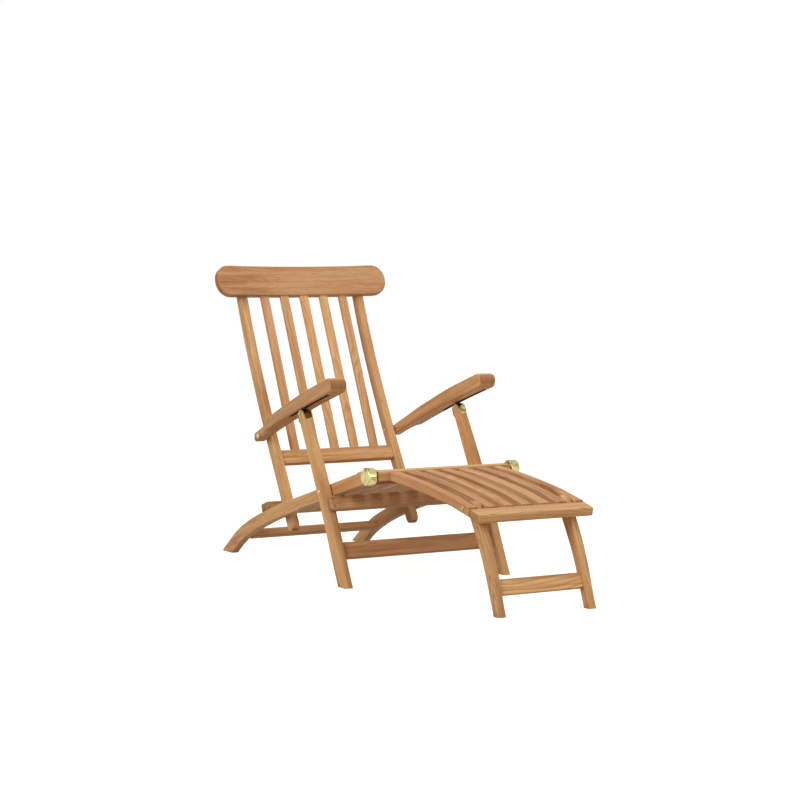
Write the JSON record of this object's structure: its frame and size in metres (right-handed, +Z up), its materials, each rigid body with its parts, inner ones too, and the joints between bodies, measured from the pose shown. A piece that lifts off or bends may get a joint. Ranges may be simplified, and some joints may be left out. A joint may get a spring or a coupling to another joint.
{
  "type": "steamer deck chair",
  "caption": "Folding teak steamer chair with a slatted reclining back, curved armrests, round brass knee hinges and a slatted footrest on its own folding legs.",
  "frame": {"origin": "middle of the chair's box on the floor", "axes": "+X to the sitter's feet, +Y to the sitter's left, +Z up"},
  "size_m": [1.5728, 0.62, 0.9404],
  "materials": {
    "teak": "satin",
    "brass": "polished",
    "steel": "satin"
  },
  "bodies": {
    "seat_frame": {"seat_rail_right": "teak", "seat_rail_left": "teak", "seat_cross_bar": "teak", "rear_stretcher": "teak", "seat_front_rail": "teak", "seat_slat_1": "teak", "seat_slat_2": "teak", "seat_slat_3": "teak", "seat_slat_4": "teak", "seat_slat_5": "teak", "seat_slat_6": "teak", "seat_slat_7": "teak", "knee_right": "brass", "knee_left": "brass"},
    "front_legs": {"front_leg_right": "teak", "front_leg_left": "teak", "apron": "teak", "front_stretcher": "teak", "latch_cap_right": "brass", "latch_cap_left": "brass", "latch_tongue_right": "steel", "latch_tongue_left": "steel", "leg_bolt_right": "brass", "leg_bolt_left": "brass"},
    "back_bolts": {"back_bolt_right": "brass", "back_bolt_left": "brass"},
    "back": {"stile_right": "teak", "stile_left": "teak", "head_rail": "teak", "back_lower_rail": "teak", "back_slat_1": "teak", "back_slat_2": "teak", "back_slat_3": "teak", "back_slat_4": "teak", "back_slat_5": "teak"},
    "arm_bolt_right": {"arm_bolt_right": "brass"},
    "arm_bolt_left": {"arm_bolt_left": "brass"},
    "armrest_right": {"armrest_right": "teak", "arm_rack_right": "steel"},
    "armrest_left": {"armrest_left": "teak", "arm_rack_left": "steel"},
    "footrest": {"footrest_bar": "teak", "footrest_rail_right": "teak", "footrest_rail_left": "teak", "footrest_slat_1": "teak", "footrest_slat_2": "teak", "footrest_slat_3": "teak", "footrest_slat_4": "teak", "footrest_slat_5": "teak", "footrest_end_rail": "teak"},
    "footrest_legs": {"footrest_leg_right": "teak", "footrest_leg_left": "teak", "footrest_stretcher": "teak", "footrest_bolt_right": "brass", "footrest_bolt_left": "brass"}
  },
  "joints": [
    {"name": "back_recline", "type": "hinge", "parent": "seat_frame", "child": "back_bolts", "pos_m": [-0.3636, 0, 0.17419], "axis": [0, -1, 0], "range_deg": [0, 20]},
    {"name": "back_fold", "type": "hinge", "parent": "back_bolts", "child": "back", "pos_m": [-0.3636, 0, 0.17419], "axis": [0, -1, 0], "range_deg": [-77, 0]},
    {"name": "frame_fold", "type": "hinge", "parent": "seat_frame", "child": "front_legs", "pos_m": [-0.02361, 0, 0.26911], "axis": [0, -1, 0], "range_deg": [-80, 0]},
    {"name": "footrest_fold", "type": "hinge", "parent": "seat_frame", "child": "footrest", "pos_m": [0.21237, 0, 0.335], "axis": [0, -1, 0], "range_deg": [-92, 0]},
    {"name": "footrest_leg_fold", "type": "hinge", "parent": "footrest", "child": "footrest_legs", "pos_m": [0.64037, 0, 0.28356], "axis": [0, -1, 0], "range_deg": [-105, 0]},
    {"name": "arm_lift_right", "type": "hinge", "parent": "back", "child": "arm_bolt_right", "pos_m": [-0.49538, 0, 0.40219], "axis": [0, -1, 0], "range_deg": [-15.8, 0]},
    {"name": "arm_fold_right", "type": "hinge", "parent": "arm_bolt_right", "child": "armrest_right", "pos_m": [-0.49538, 0, 0.40219], "axis": [0, -1, 0], "range_deg": [0, 75]},
    {"name": "arm_lift_left", "type": "hinge", "parent": "back", "child": "arm_bolt_left", "pos_m": [-0.49538, 0, 0.40219], "axis": [0, -1, 0], "range_deg": [-15.8, 0]},
    {"name": "arm_fold_left", "type": "hinge", "parent": "arm_bolt_left", "child": "armrest_left", "pos_m": [-0.49538, 0, 0.40219], "axis": [0, -1, 0], "range_deg": [0, 75]}
  ],
  "couplings": [
    {"joint": "frame_fold", "follows": "back_fold", "ratio": 1.0363},
    {"joint": "arm_lift_right", "follows": "back_recline", "ratio": -0.78},
    {"joint": "arm_fold_right", "follows": "back_fold", "ratio": -0.9705},
    {"joint": "arm_lift_left", "follows": "back_recline", "ratio": -0.78},
    {"joint": "arm_fold_left", "follows": "back_fold", "ratio": -0.9705}
  ]
}
